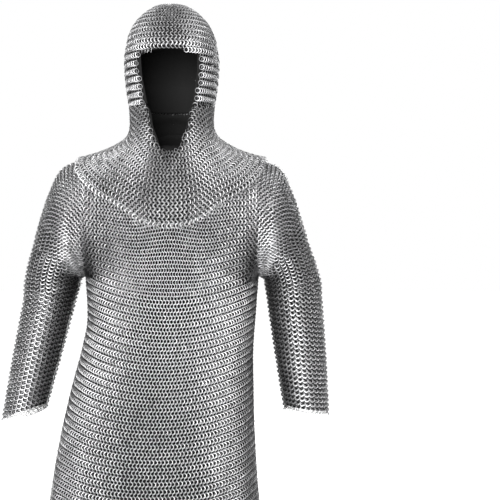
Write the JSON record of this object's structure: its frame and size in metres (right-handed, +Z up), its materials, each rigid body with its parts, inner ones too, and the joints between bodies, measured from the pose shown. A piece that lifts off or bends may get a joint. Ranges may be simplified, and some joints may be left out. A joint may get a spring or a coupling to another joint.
{
  "type": "mail shirt with coif",
  "caption": "Sleeved shirt of linked steel rings with a hood of the same mail, whose mantle lies over the shoulders, over black backing cloth.",
  "frame": {"origin": "where the neck of a wearer or stand carries the shirt, on its middle plane, at the height of the shirt's front neckline", "axes": "+Z up along the neck, front faces -Y, +X to the right of the picture's front view"},
  "size_m": [0.678, 0.3008, 1.1989],
  "materials": {
    "ring_steel": "rings of slightly flattened wire, plain grey steel with a dull sheen",
    "black_cloth": "matt black woven cloth"
  },
  "bodies": {
    "shirt": {"backing_body_back": "black_cloth", "backing_body_front": "black_cloth", "backing_upper_back": "black_cloth", "backing_upper_front": "black_cloth", "mantle_back": "ring_steel", "mantle_backing_back": "black_cloth", "mantle_backing_front_left": "black_cloth", "mantle_backing_front_right": "black_cloth", "mantle_border": "ring_steel", "mantle_front_left": "ring_steel", "mantle_front_right": "ring_steel", "shirt_hem_border": "ring_steel", "shirt_skirt_back": "ring_steel", "shirt_skirt_front": "ring_steel", "shirt_skirt_left_side": "ring_steel", "shirt_skirt_right_side": "ring_steel", "shirt_upper_back": "ring_steel", "shirt_upper_front": "ring_steel", "shirt_waist_back": "ring_steel", "shirt_waist_front": "ring_steel", "shirt_waist_left_side": "ring_steel", "shirt_waist_right_side": "ring_steel"},
    "hood": {"coif_brow": "ring_steel", "coif_crown": "ring_steel", "coif_left_cheek": "ring_steel", "coif_nape": "ring_steel", "coif_right_cheek": "ring_steel", "hood_backing_brow": "black_cloth", "hood_backing_crown": "black_cloth", "hood_backing_left_cheek": "black_cloth", "hood_backing_nape": "black_cloth", "hood_backing_right_cheek": "black_cloth"},
    "left_sleeve": {"left_backing_upper_inner": "black_cloth", "left_backing_upper_outer": "black_cloth", "left_shoulder_inner": "ring_steel", "left_shoulder_outer": "ring_steel", "left_upper_sleeve_inner": "ring_steel", "left_upper_sleeve_outer": "ring_steel"},
    "left_forearm": {"left_backing_lower_inner": "black_cloth", "left_backing_lower_outer": "black_cloth", "left_cuff_border": "ring_steel", "left_lower_sleeve_inner": "ring_steel", "left_lower_sleeve_outer": "ring_steel"},
    "right_sleeve": {"right_backing_upper_inner": "black_cloth", "right_backing_upper_outer": "black_cloth", "right_shoulder_inner": "ring_steel", "right_shoulder_outer": "ring_steel", "right_upper_sleeve_inner": "ring_steel", "right_upper_sleeve_outer": "ring_steel"},
    "right_forearm": {"right_backing_lower_inner": "black_cloth", "right_backing_lower_outer": "black_cloth", "right_cuff_border": "ring_steel", "right_lower_sleeve_inner": "ring_steel", "right_lower_sleeve_outer": "ring_steel"}
  },
  "joints": [
    {"name": "coif_turn", "type": "hinge", "parent": "shirt", "child": "hood", "pos_m": [0, 0, 0.085], "axis": [0, 0, 1], "range_deg": [-40, 40]},
    {"name": "left_sleeve_swing", "type": "hinge", "parent": "shirt", "child": "left_sleeve", "pos_m": [-0.177, 0.0215, -0.138], "axis": [-1, 0, 0], "range_deg": [-30, 90]},
    {"name": "right_sleeve_swing", "type": "hinge", "parent": "shirt", "child": "right_sleeve", "pos_m": [0.177, 0.0215, -0.138], "axis": [-1, 0, 0], "range_deg": [-30, 90]},
    {"name": "left_elbow_bend", "type": "hinge", "parent": "left_sleeve", "child": "left_forearm", "pos_m": [-0.27155, -0.05032, -0.39234], "axis": [-0.9753, 0, 0.2207], "range_deg": [0, 60]},
    {"name": "right_elbow_bend", "type": "hinge", "parent": "right_sleeve", "child": "right_forearm", "pos_m": [0.26039, -0.05032, -0.38599], "axis": [-0.9945, 0, -0.1045], "range_deg": [0, 60]}
  ]
}
